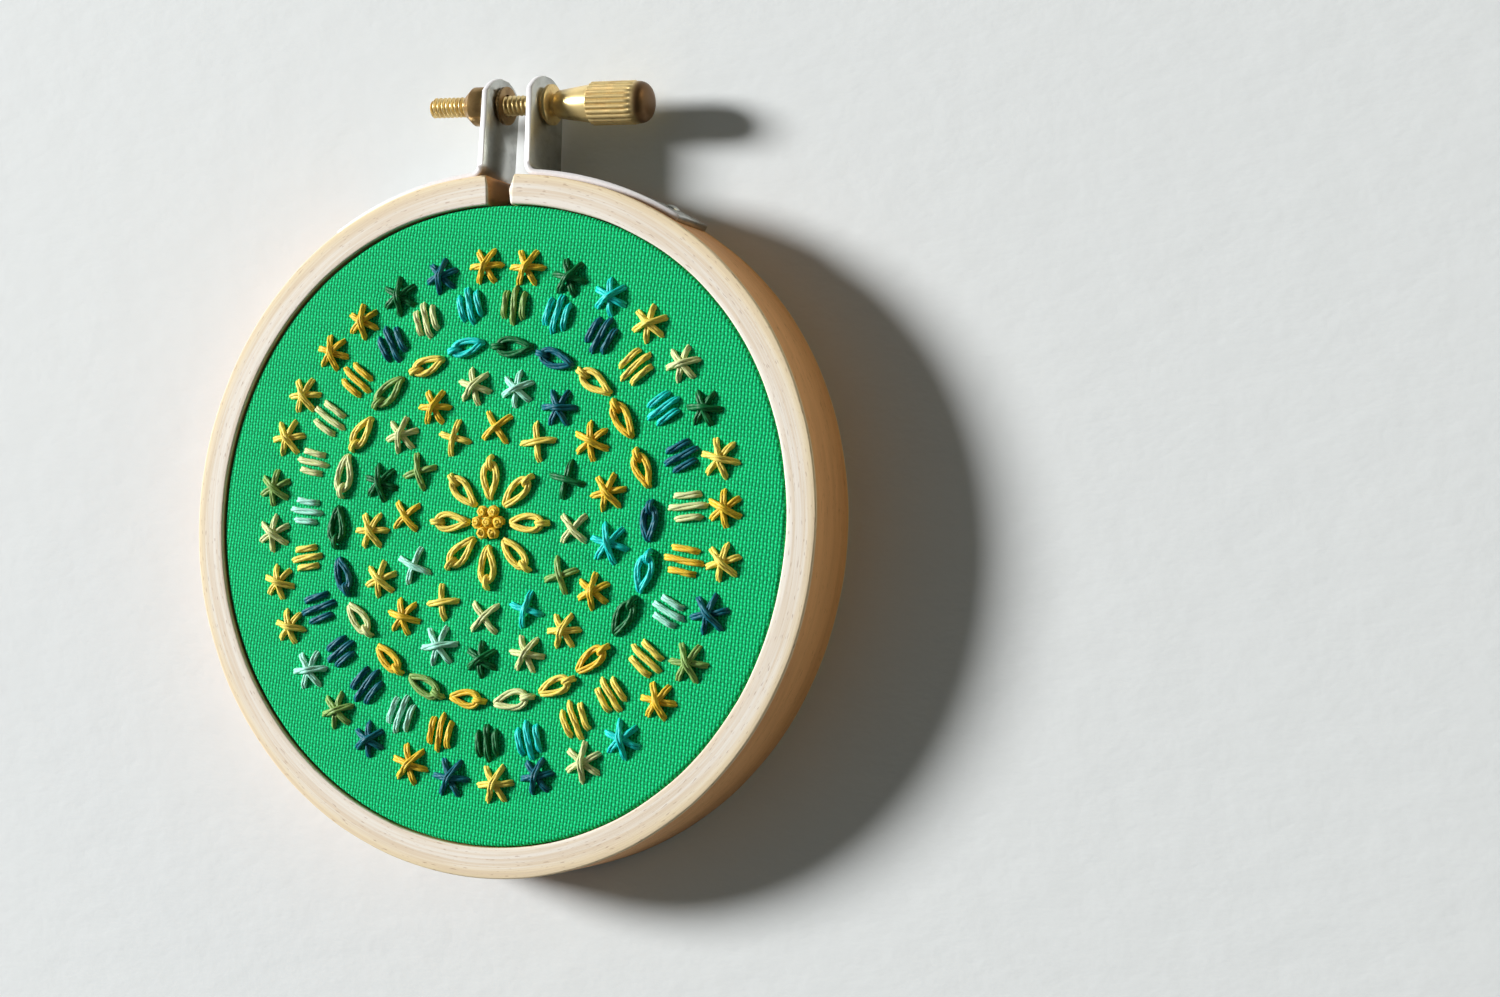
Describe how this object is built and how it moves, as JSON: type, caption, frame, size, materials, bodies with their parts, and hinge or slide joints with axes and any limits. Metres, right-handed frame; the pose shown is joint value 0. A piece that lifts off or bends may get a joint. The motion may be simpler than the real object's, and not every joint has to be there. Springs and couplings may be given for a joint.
{
  "type": "hoop embroidery art in a wooden screw hoop",
  "caption": "Round sewn cloth stretched in a split wooden hoop, drawn tight by a brass thumbscrew between two bent steel lugs.",
  "frame": {"origin": "centre of the bounding box, on the surface that the back of the rings rests on", "axes": "+Z out of the cloth's face, +Y from the hoop's middle towards the thumbscrew"},
  "size_m": [0.0877, 0.101, 0.011],
  "materials": {
    "beech": "bare, sanded",
    "cotton": "plain weave cotton",
    "sewing_thread": "stranded cotton",
    "plated_steel": "bright plate",
    "brass": "turned, lightly worn"
  },
  "bodies": {
    "hoop": {"outer_ring": "beech", "inner_ring": "beech", "cloth": "cotton", "bracket_left": "plated_steel", "bracket_right": "plated_steel", "thread_nut": "brass", "brad_1": "plated_steel", "brad_2": "plated_steel", "brad_3": "plated_steel", "brad_4": "plated_steel"},
    "screw": {"thumbscrew": "brass"}
  },
  "joints": [
    {"name": "thumbscrew_spin", "type": "hinge", "parent": "hoop", "child": "screw", "pos_m": [0, 0.047, 0.0055], "axis": [0.9994, -0.0349, 0], "continuous": true}
  ]
}
